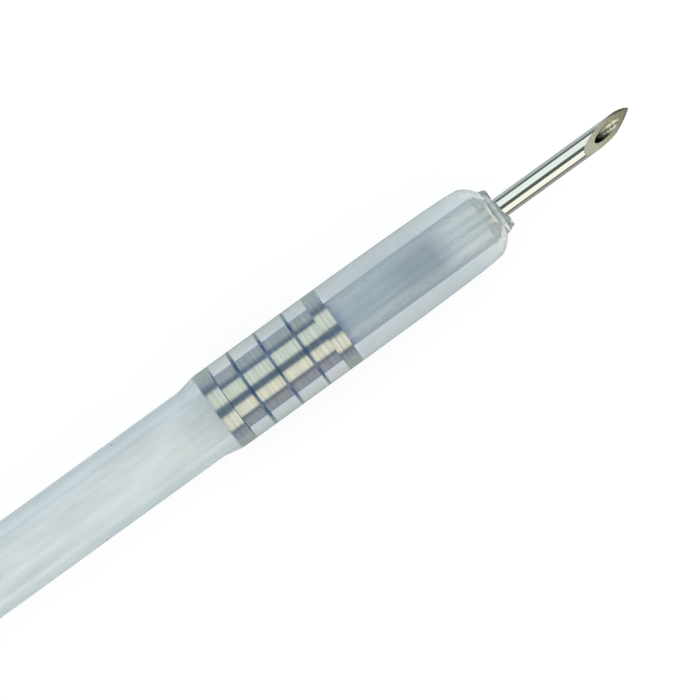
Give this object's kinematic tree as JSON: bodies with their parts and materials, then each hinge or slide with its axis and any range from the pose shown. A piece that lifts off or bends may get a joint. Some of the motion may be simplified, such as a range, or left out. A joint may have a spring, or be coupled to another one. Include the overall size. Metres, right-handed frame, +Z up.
{
  "type": "endoscopic injection needle",
  "caption": "Sliding injection needle with a finger-winged plunger handle, a coiled clear sheath and a formed tip from which a bevelled steel needle slides out.",
  "frame": {"origin": "under the middle of the handle, on the surface it lies on", "axes": "+X along the handle towards the needle, +Z up"},
  "size_m": [0.2027, 0.06, 0.0166],
  "materials": {
    "handle_white": "fine moulded satin",
    "plunger_blue": "moulded satin",
    "relief_blue": "soft matt",
    "inlet_clear": "clear moulded",
    "ring_rubber": "matt",
    "steel": "drawn",
    "spring_steel": "drawn",
    "turned_steel": "fine turned",
    "needle_steel": "polished tube, ground bevel",
    "clear_sheath": "clear to milky extruded",
    "inner_tube": "milky extruded",
    "tie_paper": "matt strip"
  },
  "bodies": {
    "handle": {"barrel": "handle_white", "rear_cap": "handle_white", "click_ring": "spring_steel", "nose_cap": "handle_white", "sheath_ferrule": "steel", "sheath_root": "clear_sheath", "strain_relief": "relief_blue", "sheath_run": "clear_sheath", "sheath_coil": "clear_sheath", "sheath_front_run": "clear_sheath", "coil_tie": "tie_paper", "sheath_tip": "clear_sheath", "stop_bush": "turned_steel"},
    "plunger": {"plunger_rod": "plunger_blue", "plunger_ring": "ring_rubber", "stop_pin": "steel", "thumb_grip": "plunger_blue", "syringe_inlet": "inlet_clear", "guide_tube": "steel", "inner_tube_rear": "inner_tube"},
    "needle": {"needle_cannula": "needle_steel", "needle_ferrule": "steel", "inner_tube_front": "inner_tube"}
  },
  "joints": [
    {"name": "plunger_slide", "type": "slide", "parent": "handle", "child": "plunger", "axis": [1, 0, 0], "range_m": [-0.007, 0]},
    {"name": "needle_slide", "type": "slide", "parent": "handle", "child": "needle", "axis": [1, 0, 0], "range_m": [-0.007, 0]}
  ],
  "couplings": [
    {"joint": "needle_slide", "follows": "plunger_slide", "ratio": 1}
  ]
}
